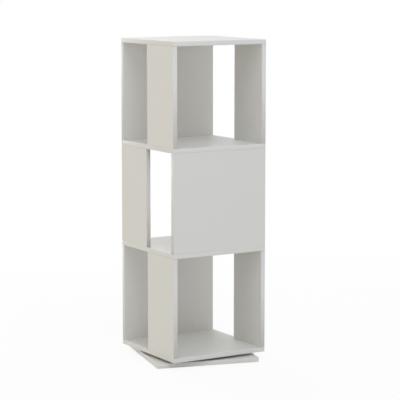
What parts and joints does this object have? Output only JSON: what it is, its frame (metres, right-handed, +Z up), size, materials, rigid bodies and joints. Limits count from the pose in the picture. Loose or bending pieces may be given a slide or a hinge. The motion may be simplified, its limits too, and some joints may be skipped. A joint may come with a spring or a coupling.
{
  "type": "rotating shelf unit",
  "caption": "Square rotating shelf tower with stacked open tiers between full and half-width panels, turning on a flat base plate by a ball bearing.",
  "frame": {"origin": "on the floor, on the turning axis, at the centre of the footprint", "axes": "+Z up along the turning axis, -Y out of the open side of the top tier, +X to the right seen from there"},
  "size_m": [0.421, 0.421, 1.0665],
  "materials": {
    "white_board": "white melamine-faced chipboard with edging, satin",
    "zinc_plated_steel": "bright zinc plate",
    "cam_alloy": "die-cast zinc alloy, dull",
    "bearing_ball": "polished steel",
    "cage_plastic": "natural nylon",
    "white_plastic": "white moulded plastic",
    "beech_dowel": "raw beech"
  },
  "bodies": {
    "base": {"base_plate": "white_board", "floor_glides": "white_plastic", "bearing_lower_plate": "zinc_plated_steel", "base_screws": "zinc_plated_steel"},
    "ball_ring": {"ball_cage": "cage_plastic", "bearing_balls": "bearing_ball"},
    "tower": {"bearing_upper_plate": "zinc_plated_steel", "tower_screws": "zinc_plated_steel", "bottom_board": "white_board", "lower_shelf": "white_board", "upper_shelf": "white_board", "top_board": "white_board", "bottom_back_panel": "white_board", "bottom_left_panel": "white_board", "bottom_right_panel": "white_board", "middle_front_panel": "white_board", "middle_left_panel": "white_board", "middle_right_panel": "white_board", "top_back_panel": "white_board", "top_left_panel": "white_board", "top_right_panel": "white_board", "bottom_dowels": "beech_dowel", "middle_dowels": "beech_dowel", "top_dowels": "beech_dowel", "bottom_cam_bolts": "zinc_plated_steel", "middle_cam_bolts": "zinc_plated_steel", "top_cam_bolts": "zinc_plated_steel", "bottom_cams": "cam_alloy", "middle_cams": "cam_alloy", "top_cams": "cam_alloy", "bottom_cam_caps": "white_plastic", "middle_cam_caps": "white_plastic", "top_cam_caps": "white_plastic"}
  },
  "joints": [
    {"name": "tower_spin", "type": "hinge", "parent": "base", "child": "tower", "pos_m": [0, 0, 0.0255], "axis": [0, 0, 1], "continuous": true},
    {"name": "ball_ring_spin", "type": "hinge", "parent": "base", "child": "ball_ring", "pos_m": [0, 0, 0.0215], "axis": [0, 0, 1], "continuous": true}
  ],
  "couplings": [
    {"joint": "ball_ring_spin", "follows": "tower_spin", "ratio": 0.5}
  ]
}
